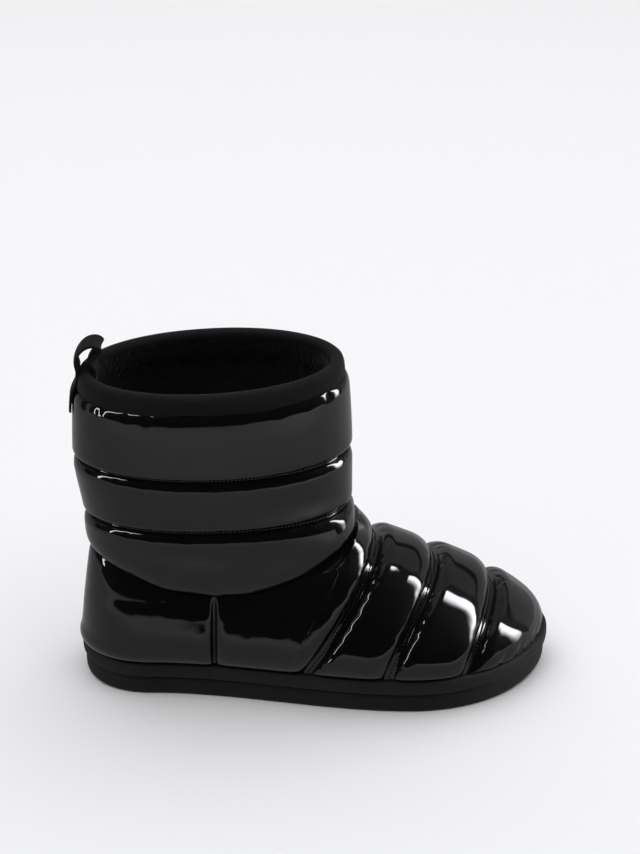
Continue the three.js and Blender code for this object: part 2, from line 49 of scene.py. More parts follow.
# %% Camera
camera_at = Vector((-0.00532, -1.17333, 0.68779))
camera_look = Vector((0.00579, 0.9114, -0.4116)).normalized()
camera_roll = np.radians(0.208)
camera_data = bpy.data.cameras.new("camera")
camera_data.lens = 92.7
camera_data.sensor_width = 36
camera_data.clip_end = 30
camera = bpy.data.objects.new("camera", camera_data)
bpy.context.scene.collection.objects.link(camera)
turn = camera_look.to_track_quat("-Z", "Y").to_matrix().to_4x4()
camera.matrix_world = Matrix.Translation(camera_at) @ turn @ Matrix.Rotation(camera_roll, 4, "Z")
bpy.context.scene.camera = camera
print("camera stands", round(camera_at.length, 3), "m from the boot")

# %% [markdown]
# Patent leather shows the room more than itself, so the room is part of the material. A real
# product table has a pale floor that sweeps up behind the boot, a dark room behind the
# camera, a large dim softbox overhead and a tall bright strip to the left. The room is drawn
# in the world by direction, and the lamps are area lights, which no camera sees.


# %% Node helpers and colours
def add(tree, kind, inputs=None, **settings):
    """Adds a node. Settings are its own properties, inputs are numbers or other sockets."""
    new = tree.nodes.new(kind)
    for key, value in settings.items():
        setattr(new, key, value)
    for key, value in (inputs or {}).items():
        if isinstance(value, bpy.types.NodeSocket):
            tree.links.new(value, new.inputs[key])
        else:
            new.inputs[key].default_value = value
    return new


def ramp(tree, value, start, end, low=0.0, high=1.0):
    """A smoothstep from low to high while a value goes from start to end."""
    limits = {"Value": value, "From Min": start, "From Max": end, "To Min": low, "To Max": high}
    node = add(tree, "ShaderNodeMapRange", limits, interpolation_type="SMOOTHSTEP")
    return node.outputs["Result"]


def times(tree, first, *others):
    """The product of sockets and numbers."""
    for other in others:
        product = add(tree, "ShaderNodeMath", {0: first, 1: other}, operation="MULTIPLY")
        first = product.outputs["Value"]
    return first


def colour(code):
    """Linear colour of an sRGB hex code: the usual curve, with its straight foot."""
    rgb = np.array([int(code[i : i + 2], 16) for i in (1, 3, 5)]) / 255
    linear = np.where(rgb <= 0.04045, rgb / 12.92, ((rgb + 0.055) / 1.055) ** 2.4)
    return (*linear.tolist(), 1.0)


lamp_white = colour("#fbfbff")

# %% The room by direction
room_wall, room_dark = 0.33, 0.0015
world = bpy.data.worlds.new("studio_room")
bpy.context.scene.world = world
world.use_nodes = True
tree = world.node_tree
tree.nodes.clear()
direction = add(tree, "ShaderNodeTexCoord").outputs["Generated"]
axes = add(tree, "ShaderNodeSeparateXYZ", {"Vector": direction}).outputs
far_side = ramp(tree, axes["Y"], 0.08, 0.2)
above_rail = ramp(tree, axes["Z"], 0.5, 0.56, 0.0, 0.85)
below_rail = ramp(tree, axes["Z"], 0.46, 0.4)
beside_rail = add(tree, "ShaderNodeMath", {0: above_rail, 1: below_rail}, operation="ADD")
wall_share = times(tree, far_side, beside_rail.outputs["Value"])
limits = {"Value": wall_share, "To Min": room_dark, "To Max": room_wall}
brightness = add(tree, "ShaderNodeMapRange", limits).outputs["Result"]
walls = add(tree, "ShaderNodeBackground", {"Color": lamp_white, "Strength": brightness})
add(tree, "ShaderNodeOutputWorld", {"Surface": walls.outputs["Background"]})
bpy.context.scene.view_settings.view_transform = "Standard"
print("room:", len(tree.nodes), "nodes")


# %% Lamps
def lamp(name, at, towards, size, power, in_gloss, on_matt=True):
    """A rectangular area light that no camera sees, turned towards a point."""
    data = bpy.data.lights.new(name, "AREA")
    data.shape = "RECTANGLE"
    data.size, data.size_y = size
    data.energy = power
    lamp_object = bpy.data.objects.new(name, data)
    bpy.context.scene.collection.objects.link(lamp_object)
    sight = (Vector(towards) - Vector(at)).to_track_quat("-Z", "Y").to_matrix().to_4x4()
    lamp_object.matrix_world = Matrix.Translation(at) @ sight
    lamp_object.visible_camera = False
    lamp_object.visible_glossy = in_gloss
    lamp_object.visible_diffuse = on_matt


lamp("floor_wash", (0, 0.5, 3.0), (0, 0.5, 0), (7.0, 7.0), 240, False)
lamp("overhead_softbox", (0.0, 0.1, 1.9), (0, 0.1, 0), (0.9, 0.5), 0.45, True, False)
lamp("left_strip", (-1.43, -0.42, 1.1), (-0.03, 0, 0.1), (0.12, 2.0), 10.7, True, False)
print("three lamps")

# %% [markdown]
# A tall window stands at the toe's side. Its light is strongest in a narrow stripe, ends
# sharply towards the backdrop and softly towards the camera, so it is a sheet whose glow is
# a smooth function of its width and height. Only the glossy skin sees it.


# %% Window
def sheet(name, corners, glow_of):
    """A glowing sheet that only shiny surfaces see. Its strength is a node of its own place."""
    mesh = bpy.data.meshes.new(name)
    mesh.from_pydata(corners, [], [(0, 1, 2, 3)])
    new = bpy.data.objects.new(name, mesh)
    bpy.context.scene.collection.objects.link(new)
    paint = bpy.data.materials.new(name + "_light")
    paint.use_nodes = True
    tree = paint.node_tree
    tree.nodes.clear()
    coordinates = add(tree, "ShaderNodeTexCoord").outputs["Object"]
    place = add(tree, "ShaderNodeSeparateXYZ", {"Vector": coordinates}).outputs
    light = {"Color": lamp_white, "Strength": glow_of(tree, place)}
    emission = add(tree, "ShaderNodeEmission", light).outputs["Emission"]
    add(tree, "ShaderNodeOutputMaterial", {"Surface": emission})
    mesh.materials.append(paint)
    for kind in ("camera", "diffuse", "transmission", "shadow", "volume_scatter"):
        setattr(new, "visible_" + kind, False)


def window_glow(tree, place):
    """A sharp rise behind, a soft fall towards the camera, and a soft lower end."""
    across, height = place["Y"], place["Z"]
    far_edge = ramp(tree, across, 0.30, 0.24)
    near_edge = ramp(tree, across, -0.12, 0.12)
    stripe = times(tree, far_edge, near_edge, ramp(tree, across, -0.12, 0.2, 0.3, 1.0))
    ends = times(tree, ramp(tree, height, 0.0, 0.5, 0.2, 1.0), ramp(tree, height, 2.1, 1.9))
    return times(tree, stripe, ends, 24.0)


window_corners = [(1.5, -0.4, 0), (1.5, 0.5, 0), (1.5, 0.5, 2.2), (1.5, -0.4, 2.2)]
sheet("window", window_corners, window_glow)
print("window ready")

# %% [markdown]
# The floor is one pale painted sheet that runs well past the picture's edges.


# %% Floor
def level_square(half, z):
    """Corners of a level square about the origin, in metres."""
    return [(-half, -half, z), (half, -half, z), (half, half, z), (-half, half, z)]


reach = 6.0
floor_mesh = bpy.data.meshes.new("floor")
floor_mesh.from_pydata(level_square(reach, 0), [], [(0, 1, 2, 3)])
floor = bpy.data.objects.new("floor", floor_mesh)
bpy.context.scene.collection.objects.link(floor)
floor_paint = bpy.data.materials.new("matt_floor_paint")
floor_paint.use_nodes = True
surface = floor_paint.node_tree.nodes["Principled BSDF"]
surface.inputs["Base Color"].default_value = colour("#f0f0f2")
surface.inputs["Roughness"].default_value = 0.75
surface.inputs["Specular IOR Level"].default_value = 0.2
floor_mesh.materials.append(floor_paint)
floor.visible_glossy = False
print("floor", 2 * reach, "m square")

# %% [markdown]
# What the patent skin sees of the floor is a second sheet just under the first. It is dull in
# the boot's own shade, brighter further out, and fades into the unlit room behind the camera.


# %% Mirrored floor
def floor_glow(tree, place):
    """Shade at the boot, lit floor round it, a dark room far out, more light by the window."""
    across, along = place["Y"], place["X"]
    near = ramp(tree, across, -0.1, -0.55, 0.4, 0.64)
    far = ramp(tree, across, -2.2, -0.35)
    side = ramp(tree, along, 0.1, 0.6, 1.0, 1.5)
    return times(tree, near, far, side)


sheet("mirrored_floor", level_square(reach, -0.001), floor_glow)
print("mirrored floor ready")

# %% [markdown]
# The boot's own sizes, the same that its solids were made from. A last is drawn as level
# sections: at each height a back, a front, a heel width and a ball width on each side. A
# smooth curve through each column of the table gives the section at any height between.

# %% Sizes in millimetres
sole_length, ball_width, heel_width = 284.0, 115.0, 80.0
outsole_height, midsole_height = 12.0, 9.0
toe_spring, toe_spring_run, toe_band_rise = 4.0, 46.0, 2.6
heel_bevel, heel_bevel_run = 2.0, 24.0
sole_edge_round, ledge, lip_overhang = 2.4, 2.5, 1.8
throat_height, shaft_height, shaft_length, shaft_width = 98.0, 199.4, 154.0, 85.0
ankle_back, collar_forward_rise, collar_outer_drop = 60.5, 8.0, 9.0
lower_ring_height, lower_ring_rise, upper_ring_height = 111.0, 5.0, 146.5
scoop_height, scoop_back_height, side_seam_back = 65.3, 86.0, 60.0
wall, puff, puff_round = 5.0, 5.2, 13.0
vamp_shoulder, quarter_tuck, scoop_round, quarter_crown, heel_flat = 8.0, 9.0, 6.0, 40.0, 40.0
channel_puff, channel_tuck, channel_shoulder, ring_gap = 3.4, 3.5, 6.5, 1.0
lower_puff, lower_tuck = 4.4, 13.0
seam_strip, side_seam_strip, side_seam_round = 6.0, 2.0, 8.0
binding_height, binding_inside, ribbon_thickness = 10.5, 9.0, 1.2
loop_width, loop_rise, loop_reach = 15.0, 15.8, 14.6
loop_outer_leg, loop_inner_leg = 25.0, 14.0
insole_height, fit, insole_fit, wall_slant = 5.0, 0.3, 1.6, 1.25
sole_top = outsole_height + midsole_height
half_sole, half_ball, half_heel = sole_length / 2, ball_width / 2, heel_width / 2
half_shaft, half_shaft_width = shaft_length / 2, shaft_width / 2


# %% Curves, blends and lines
def mix(a, b, t):
    """The value a share t of the way from a to b."""
    return a + (b - a) * t


def smooth(t):
    """Smoothstep: 3t^2 - 2t^3 between 0 and 1."""
    t = np.clip(t, 0, 1)
    return t * t * (3 - 2 * t)


def round_edge(t):
    """A quarter circle over 0..1: steep at a seam and level on top of the padding."""
    return np.sqrt(1 - (1 - np.clip(t, 0, 1)) ** 2)


def curve(xs, ys):
    """Cubic through points with harmonic-mean tangents, held level outside them."""
    xs, ys = np.asarray(xs, float), np.asarray(ys, float)
    slope = np.diff(ys) / np.diff(xs)
    tangent = np.zeros_like(ys)
    tangent[0], tangent[-1] = slope[0], slope[-1]
    same = slope[:-1] * slope[1:] > 0
    tangent[1:-1][same] = 2 / (1 / slope[:-1][same] + 1 / slope[1:][same])

    def at(x):
        x = np.clip(x, xs[0], xs[-1])
        i = np.clip(np.searchsorted(xs, x, side="right") - 1, 0, len(xs) - 2)
        run = xs[i + 1] - xs[i]
        t = (x - xs[i]) / run
        start = (1 + 2 * t) * (1 - t) ** 2 * ys[i] + t * (1 - t) ** 2 * run * tangent[i]
        return start + t * t * (3 - 2 * t) * ys[i + 1] - t * t * (1 - t) * run * tangent[i + 1]

    return at


def solve(miss, low, high):
    """Where a falling miss crosses zero between low and high, by halving whole arrays."""
    low, high = np.broadcast_arrays(np.asarray(low, float), np.asarray(high, float))
    for _ in range(45):
        middle = (low + high) / 2
        above = miss(middle) > 0
        low, high = np.where(above, middle, low), np.where(above, high, middle)
    return (low + high) / 2


def unit(vectors):
    """Vectors of length 1."""
    return vectors / np.linalg.norm(vectors, axis=-1, keepdims=True)


def running(points, axis):
    """Running length of a grid of points along one of its axes."""
    gaps = np.linalg.norm(np.diff(points, axis=axis), axis=2)
    zero = np.zeros_like(np.take(gaps, [0], axis=axis))
    return np.concatenate([zero, np.cumsum(gaps, axis=axis)], axis=axis)


def length_along(line, closed=False):
    """Running length of a line of points, back to its start if it is closed."""
    line = np.vstack([line, line[:1]]) if closed else line
    return np.append(0, np.cumsum(np.linalg.norm(np.diff(line, axis=0), axis=1)))


def read_at(places, run, line):
    """Points of a line at places along its running length."""
    return np.stack([np.interp(places, run, column) for column in line.T], axis=1)


# %% Level sections of the last
foot_sections = np.array(
    [
        # level, back, heel at, outer at, inner at, front, heel, outer, inner, turn
        [0.0, -0.982, -0.69, 0.394, 0.53, 0.982, 0.945, 1.026, 0.878, 0.096],
        [0.055, -0.988, -0.688, 0.374, 0.51, 0.961, 0.946, 1.019, 0.872, 0.093],
        [0.182, -0.972, -0.683, 0.324, 0.46, 0.908, 0.939, 0.99, 0.85, 0.087],
        [0.377, -0.961, -0.669, 0.197, 0.32, 0.771, 0.896, 0.87, 0.79, 0.07],
        [0.532, -0.953, -0.634, 0.042, 0.15, 0.63, 0.868, 0.765, 0.725, 0.048],
        [0.688, -0.947, -0.577, -0.113, -0.05, 0.426, 0.869, 0.7, 0.69, 0.026],
        [0.844, -0.944, -0.507, -0.261, -0.22, 0.236, 0.922, 0.69, 0.69, 0.009],
    ]
)
shaft_sections = np.array(
    [
        # level, back, front, half width
        [0.0, -0.948, 1.071, 0.97],
        [0.12, -0.967, 1.02, 0.995],
        [0.48, -1.03, 1.017, 1.035],
        [0.72, -1.022, 1.003, 1.035],
        [1.0, -0.985, 0.97, 0.99],
    ]
)
names = ["z", "back", "heel_at", "outer_at", "inner_at", "front", "heel", "outer", "inner", "turn"]
units = [half_sole] * 5 + [half_heel, half_ball, half_ball, ball_width]
foot_rows = foot_sections.copy()
foot_rows[:, 0] = mix(sole_top, throat_height, foot_sections[:, 0])
foot_rows[:, 1:] *= units
level, back, front, half = shaft_sections.T
ankle = np.full_like(level, -ankle_back)
widths = [half * half_shaft_width] * 3
shaft_rows = np.stack(
    [
        mix(throat_height, shaft_height, level),
        -ankle_back + back * half_shaft,
        ankle,
        ankle,
        ankle,
        -ankle_back + front * half_shaft,
        *widths,
        0 * level,
    ],
    axis=1,
)
rows = np.vstack([foot_rows, shaft_rows])
section = {name: curve(rows[:, 0], rows[:, i]) for i, name in enumerate(names)}
heel_round, toe_round, inner_heel_lag = 2.1, 2.0, 0.3
throat_round, throat_round_rise, throat_round_fall = 2.6, 18.0, 30.0


def front_round(z):
    """Power of a section's front: 2 is an ellipse, a little squarer round the throat."""
    above = z - throat_height
    near = smooth(above / throat_round_rise + 1) * (1 - smooth(above / throat_round_fall))
    return mix(toe_round, throat_round, near)


def side_y(x, z, side):
    """y of the last at x and z on the outer (-1) or inner (+1) side.

    The half width grows by a smoothstep from heel to ball and is closed at both ends by
    superellipses. The toe's turn grows with the square of the way to the tip.
    """
    heel_at = section["heel_at"](z)
    widest = section["outer_at" if side < 0 else "inner_at"](z)
    start = heel_at if side < 0 else mix(heel_at, widest, inner_heel_lag)
    spread = smooth((x - start) / np.maximum(widest - start, 1))
    half_width = mix(section["heel"](z), section["outer" if side < 0 else "inner"](z), spread)
    toe = np.clip((x - widest) / (section["front"](z) - widest), 0, 1)
    heel = np.clip((heel_at - x) / (heel_at - section["back"](z)), 0, 1)
    power = front_round(z)
    close = (1 - toe**power) ** (1 / power) * (1 - heel**heel_round) ** (1 / heel_round)
    return section["turn"](z) * toe**2 + side * half_width * close


def toe_lift(x):
    """0 along the sole, growing with the square of the way into the toe's upturned end."""
    return np.clip((x - half_sole + toe_spring_run) / toe_spring_run, 0, 1) ** 2


def heel_lift(x):
    """0 along the sole, growing with the square of the way into the heel's bevelled end."""
    return np.clip((heel_bevel_run - half_sole - x) / heel_bevel_run, 0, 1) ** 2


def sole_top_at(x):
    """Height of the sole under the upper's edge."""
    return sole_top + toe_band_rise * toe_lift(x) + heel_bevel * heel_lift(x)


print("ball width at the sole", round(float(side_y(60, 21, 1) - side_y(60, 21, -1)), 1), "mm")

# %% [markdown]
# The seams divide the skin into panels. The scooped seam joins foot and shaft and is a curve
# of height over length. The vamp's seams are slanted lines seen from the side.

# %% Seams
throat_front = float(section["front"](throat_height))
scoop_back = float(section["back"](scoop_back_height))
scoop_lowest = 0.474
climb_behind = curve([0, 0.064, 0.18, 0.32, scoop_lowest], [1, 0.79, 0.47, 0.12, 0])
climb_ahead = curve([scoop_lowest, 0.61, 0.756, 0.897, 0.981, 1], [0, 0.086, 0.345, 0.62, 0.86, 1])
vamp_seams = [(-0.042, 0.66, 0.0), (0.297, 0.288, 0.5), (0.625, 0.363, 0.5)]


def scoop_at(x):
    """Height of the scooped seam at x: it falls from the heel and climbs to the throat."""
    along = np.clip((x - scoop_back) / (throat_front - scoop_back), 0, 1)
    behind = mix(scoop_height, scoop_back_height, climb_behind(along))
    ahead = mix(scoop_height, throat_height, climb_ahead(along))
    return np.where(along < scoop_lowest, behind, ahead)


def seam_line(seam, shift):
    """x of a vamp seam at height z: its foot, plus a lean that may grow with the rise."""
    foot, lean, bend = seam

    def x_at(z):
        rise = z - sole_top
        return foot * half_sole + (lean + bend * rise / (throat_height - sole_top)) * rise + shift

    return x_at


def side_line(shift):
    """x of the upright side seam, moved by a shift."""
    return lambda z: -side_seam_back + shift + 0 * z


tip = float(solve(lambda x: section["front"](sole_top_at(x) + fit) - x, 0, sole_length))
print("toe tip at", round(tip, 1), "mm, throat at", round(throat_front, 1), "mm")

# %% [markdown]
# Each panel is a pillow: foam between the patent skin and the lining, sewn flat along its
# seams. Its height over the last is a product of quarter circles that rise from each seam.
# The seams gather the skin, so small puckers run into each pillow from its edges. They are
# listed in the tables below, in millimetres along the edge and into the panel.


# %% Panels of the foot
def crowd(count):
    """Shares from 0 to 1 that stand closer near both ends, half even and half by a cosine."""
    t = np.linspace(0, 1, count)
    return mix(t, (1 - np.cos(np.pi * t)) / 2, 0.6)


half_strip, half_side_strip = seam_strip / 2, side_seam_strip / 2
seam_edges = [(seam_line(seam, -half_strip), seam_line(seam, half_strip)) for seam in vamp_seams]
ring_x = mix(-side_seam_back + half_side_strip, throat_front, np.sin(np.pi / 2 * crowd(62)))
ring_z = scoop_at(ring_x)
waist_left, waist_right = side_line(half_side_strip), seam_edges[0][0]
ring_shares = (ring_x - waist_left(ring_z)) / (waist_right(ring_z) - waist_left(ring_z))
throat_share = float(ring_shares[-1])
waist_shares = np.concatenate([ring_shares, mix(throat_share, 1, crowd(24))[1:]])
strip_shares = np.linspace(0, 1, 7)[1:-1]
# Pinch left and right, edge radius left and right, tuck below, crown above, swell
quarter = (0.8, 0.7, heel_flat, side_seam_round, quarter_tuck, quarter_crown, 1.15)
waist = (0.7, 1, side_seam_round, puff_round, puff_round, quarter_crown, 1.15)
vamp = (1, 1, vamp_shoulder, puff_round, puff_round, scoop_round, 1.1)
toe = (1, 0, vamp_shoulder, puff_round, puff_round, scoop_round, 1.1)
unpadded = (1, 1, 1, 1, 1, 1, 0)
panels = [
    # name, left and right edge, shares of the width, padding
    ("quarter", section["back"], side_line(-half_side_strip), crowd(64), *quarter),
    ("side_strip", side_line(-half_side_strip), waist_left, np.array([0.5]), *unpadded),
    ("waist", waist_left, waist_right, waist_shares, *waist),
    ("strip_1", *seam_edges[0], strip_shares, *unpadded),
    ("vamp_1", seam_edges[0][1], seam_edges[1][0], crowd(48), *vamp),
    ("strip_2", *seam_edges[1], strip_shares, *unpadded),
    ("vamp_2", seam_edges[1][1], seam_edges[2][0], crowd(48), *vamp),
    ("strip_3", *seam_edges[2], strip_shares, *unpadded),
    ("toe", seam_edges[2][1], side_line(side_seam_back + tip), crowd(60), *toe),
]
foot_row_shares = crowd(104)
print(sum(len(panel[3]) for panel in panels), "columns a side,", len(foot_row_shares), "rows")


# %% Lines of the foot
def foot_line_points(left, right, shares, side):
    """Points of upright lines from the sole to the scooped seam or to the ridge.

    Each line keeps its share of the panel's width. It is followed in fine steps and read at
    even shares of its length, so the result is an array of lines by rows by x, y, z. The
    second result says which lines end on the scooped seam.
    """
    shares = shares[:, None]
    x_at = lambda z: mix(left(z), right(z), shares)
    under_shaft = right(throat_height) < throat_front + 1e-6
    ring = shares <= (1 if under_shaft else throat_share if left is waist_left else -1)
    start = np.full(shares.shape, throat_height)
    low = solve(lambda z: sole_top_at(x_at(z)) + fit - z, 0, start)
    reach_up = lambda z: np.where(ring, scoop_at(x_at(z)) - z, section["front"](z) - x_at(z))
    high = solve(reach_up, low, throat_height)
    z = mix(low, high, 1 - (1 - np.linspace(0, 1, 140)) ** 2)
    x = x_at(z)
    y = side_y(x, z, side)
    closes = ~ring[:, 0] | (shares[:, 0] == throat_share)
    y[closes, -1] = section["turn"](high[closes, 0])
    dense = np.stack([x, y, z], axis=2)
    along = running(dense, 1)
    read = [read_at(foot_row_shares * run[-1], run, line) for run, line in zip(along, dense)]
    return np.array(read), ring[:, 0]


# %% [markdown]
# A pucker is a soft trough that starts at a seam and dies out inside the panel. Written as a
# share, it takes away part of the padding's height, so it never cuts through the skin.


# %% Puckers
def pucker(gap, along, at, reach, width, depth, slant):
    """Share of padding that one pucker takes: a bell across it and a fading power along it."""
    across = np.exp(-(((along - at - slant * gap) / width) ** 2))
    return depth * across * (1 - np.clip(gap / reach, 0, 1)) ** 1.5


def puckers(gap, along, rows):
    """What is left of the padding after a table of puckers."""
    left_over = np.ones(np.broadcast(gap, along).shape)
    for row in rows:
        left_over *= 1 - pucker(gap, along, *row)
    return left_over


# Each row: place along the edge, reach into the panel, half width, depth share, slant
left_edge_puckers = [
    (9, 5, 2.0, 0.16, 0.2),
    (17, 6, 2.2, 0.22, -0.3),
    (27, 5, 1.8, 0.16, 0.2),
    (35, 6, 2.2, 0.2, 0.3),
    (46, 5, 2.0, 0.28, -0.4),
    (54, 5, 1.6, 0.2, 0.3),
    (63, 7, 2.2, 0.3, 0.5),
    (72, 5, 1.8, 0.2, -0.2),
    (82, 6, 2.2, 0.24, 0.3),
    (94, 5, 1.8, 0.18, -0.2),
]
right_edge_puckers = [
    (12, 6, 2.6, 0.1, 0.2),
    (28, 7, 3.0, 0.12, -0.2),
    (43, 6, 2.4, 0.1, 0.3),
    (58, 7, 2.8, 0.12, 0.2),
    (73, 8, 2.6, 0.12, -0.3),
    (88, 7, 2.4, 0.1, 0.2),
]
scoop_puckers = [
    (-112, 8, 2.6, 0.4, 0.3),
    (-98, 11, 3.0, 0.35, 0.5),
    (-84, 9, 2.4, 0.3, 0.2),
    (-71, 8, 2.4, 0.3, -0.2),
    (-48, 9, 2.6, 0.25, 0.3),
    (-33, 8, 2.4, 0.3, -0.3),
    (-18, 9, 2.6, 0.35, 0.4),
    (-5, 12, 2.4, 0.55, 0.8),
    (4, 9, 2.2, 0.5, -0.5),
    (12, 13, 2.6, 0.55, 0.9),
    (19, 9, 2.2, 0.5, -0.4),
]
toe_gathers = [
    (118, 15, 2.0, 0.5, 0.1),
    (123, 12, 1.8, 0.5, 0.0),
    (127.5, 16, 1.9, 0.55, 0.1),
    (131.5, 12, 1.6, 0.5, 0.0),
    (135, 15, 1.5, 0.55, 0.0),
    (108, 12, 2.6, 0.35, 0.1),
    (98, 9, 2.4, 0.25, 0.0),
]
print(len(left_edge_puckers + right_edge_puckers + scoop_puckers + toe_gathers), "puckers a side")


# %% Skins
strip_dip, strip_groove, strip_start = 0.9, 1.7, 6


def fall(gap, pinch, radius):
    """Share of padding at a gap from an edge: one less the pinch, less a quarter circle."""
    return 1 - pinch * (1 - round_edge(gap / radius))


def foot_side(side):
    """Points, padding and distance to the rims of one side of the foot, columns by rows."""
    throat = np.array([throat_front, 0, throat_height])
    lines = [foot_line_points(*panel[1:4], side) for panel in panels]
    points, ring = (np.concatenate(parts) for parts in zip(*lines))
    across, up = running(points, 0), running(points, 1)
    low = points[:, :, 2] - points[:, :1, 2]
    to_throat = np.linalg.norm(points - throat, axis=2)
    high = np.where(ring[:, None], up[:, -1:] - up, to_throat)
    padding = np.zeros(low.shape)
    first = 0
    for name, _, _, shares, pinch_l, pinch_r, round_l, round_r, tuck, crown, swell in panels:
        last = first + len(shares) - 1
        part = slice(first, last + 1)
        from_left = across[part] - across[first]
        from_right = across[last] - across[part]
        height = puff * swell * fall(from_left, pinch_l, round_l)
        height = height * fall(from_right, pinch_r, round_r)
        height = height * round_edge(low[part] / tuck) * round_edge(high[part] / crown)
        if name in ("vamp_1", "vamp_2", "toe"):
            height = height * puckers(from_left, up[part], left_edge_puckers)
        if name in ("waist", "vamp_1", "vamp_2"):
            height = height * puckers(from_right, up[part], right_edge_puckers)
        if name in ("quarter", "waist"):
            height = height * puckers(high[part], points[part][:, -1:, 0], scoop_puckers)
        if name == "toe":
            height = height * puckers(up[part], points[part][:, :1, 0], toe_gathers)
        if name.startswith("strip"):
            groove = np.exp(-(((from_left - half_strip) / strip_groove) ** 2))
            height = height - strip_dip * groove * round_edge(low[part] / strip_start)
        padding[part] = height
        first = last + 1
    tip_z = sole_top_at(tip) + fit
    tip_point = np.array([tip, float(section["turn"](tip_z)), tip_z])
    points = np.concatenate([points[:-1], np.broadcast_to(tip_point, points[:1].shape)])
    ring = np.append(ring[:-1], False)
    rim = np.minimum(low, high)
    padding[-1] = rim[-1] = 0
    return points, padding, rim, ring


def quads(columns, rows, start, flip):
    """Corner indices of the quads of a grid of columns by rows, facing out."""
    index = start + np.arange(columns * rows).reshape(columns, rows)
    a, b, c, d = index[:-1, :-1], index[1:, :-1], index[1:, 1:], index[:-1, 1:]
    return np.stack([k.ravel() for k in ((a, d, c, b) if flip else (a, b, c, d))], axis=1)


def welded(points):
    """Which points to keep so that each place has one, and each point's place among them."""
    _, first, index = np.unique(
        np.round(points, 3) + 0.0, axis=0, return_index=True, return_inverse=True
    )
    return first, index.ravel()


def point_normals(points, faces):
    """Unit normals: the sum of the crossed diagonals of the quads round each point."""
    a, b, c, d = (points[faces[:, k]] for k in range(4))
    area = np.cross(c - a, d - b)
    total = np.zeros_like(points)
    for k in range(4):
        np.add.at(total, faces[:, k], area)
    return total / np.maximum(np.linalg.norm(total, axis=1, keepdims=True), 1e-9)


def settle(points):
    """The collar's tilt: above the throat, points rise towards the front and inner side."""
    lift = smooth((points[:, 2] - throat_height) / (shaft_height - throat_height))
    slope = collar_forward_rise * (points[:, 0] + ankle_back) / shaft_length
    slope = slope + collar_outer_drop * points[:, 1] / shaft_width
    return points + np.outer(lift * slope, [0, 0, 1])


def make_piece(name, points, faces, finish, uv=None):
    """A mesh object at the origin, in metres. A quad with a doubled corner is a triangle."""
    doubled = (faces == np.roll(faces, 1, axis=1)).any(axis=1)
    small = [list(dict.fromkeys(face)) for face in faces[doubled].tolist()]
    corners = faces[~doubled].tolist() + [face for face in small if len(face) == 3]
    mesh = bpy.data.meshes.new(name)
    mesh.from_pydata((points * 0.001).tolist(), [], corners)
    mesh.polygons.foreach_set("use_smooth", np.ones(len(corners), bool))
    if uv is not None:
        corner_index = np.empty(len(mesh.loops), int)
        mesh.loops.foreach_get("vertex_index", corner_index)
        layer = mesh.uv_layers.new(name="UVMap")
        layer.data.foreach_set("uv", (uv[corner_index] * 0.001).ravel())
    mesh.materials.append(finish)
    new = bpy.data.objects.new(name, mesh)
    bpy.context.scene.collection.objects.link(new)
    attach(new, "root")
    print(name, len(corners), "faces")
    return new


# %% [markdown]
# Each material is a principled shader over a tone and a relief. The helpers below take sizes
# in millimetres. Object coordinates are in metres, so a noise of size s has the scale 1 / s.

# %% Material helpers
mm = 0.001


def new_material(name):
    """An empty node material, its tree and the object coordinates."""
    material = bpy.data.materials.new(name)
    material.use_nodes = True
    material.node_tree.nodes.clear()
    place = add(material.node_tree, "ShaderNodeTexCoord").outputs["Object"]
    return material, material.node_tree, place


def noise(tree, place, size, detail=2.0):
    """Noise from 0 to 1 with features of a size in millimetres."""
    inputs = {"Vector": place, "Scale": 1 / (size * mm), "Detail": detail}
    return add(tree, "ShaderNodeTexNoise", inputs).outputs["Fac"]


def bump(tree, height, distance, under=None, strength=1.0, **settings):
    """Normal of a relief some millimetres high, laid over the normal of a coarser one."""
    inputs = {"Height": height, "Distance": distance * mm, "Strength": strength}
    if under is not None:
        inputs["Normal"] = under
    return add(tree, "ShaderNodeBump", inputs, **settings).outputs["Normal"]


def tone_between(tree, share, dark, light):
    """A colour part of the way from one hex code to another."""
    inputs = {"Factor": share, 6: colour(dark), 7: colour(light)}
    return add(tree, "ShaderNodeMix", inputs, data_type="RGBA").outputs[2]


def end_in_shader(tree, inputs):
    """Ends a material in a principled shader with these inputs."""
    shader = add(tree, "ShaderNodeBsdfPrincipled", inputs)
    add(tree, "ShaderNodeOutputMaterial", {"Surface": shader.outputs["BSDF"]})


# %% [markdown]
# Patent faux leather is polyurethane film on a knitted backing. Its surface is a clear,
# glossy film with a faint waviness like orange peel, over a black base that is nearly matt.
# So the base is dark with little shine of its own, and the coat gives the reflections.

# %% Patent leather
patent, tree, place = new_material("patent_pu_faux_leather")
drape_wave = noise(tree, place, 14, 1.0)
peel = bump(tree, noise(tree, place, 1.6), 0.006, bump(tree, drape_wave, 0.25))
patent_inputs = {
    "Base Color": tone_between(tree, drape_wave, "#090909", "#0c0c0d"),
    "Roughness": 0.45,
    "Specular IOR Level": 0.03,
    "Coat Weight": 1.0,
    "Coat Roughness": 0.035,
    "Coat IOR": 1.5,
    "Normal": peel,
    "Coat Normal": peel,
}
end_in_shader(tree, patent_inputs)
print("patent leather ready")

# %% [markdown]
# Fleece, ribbon, thread and foam each get their own finish. Sherpa fleece is a knit of tiny
# curls about 2 mm across. Grosgrain ribbon has a rib across it every 0.9 mm. The sole's
# foam is EVA, cut from a block, so it is matt with fine pores.

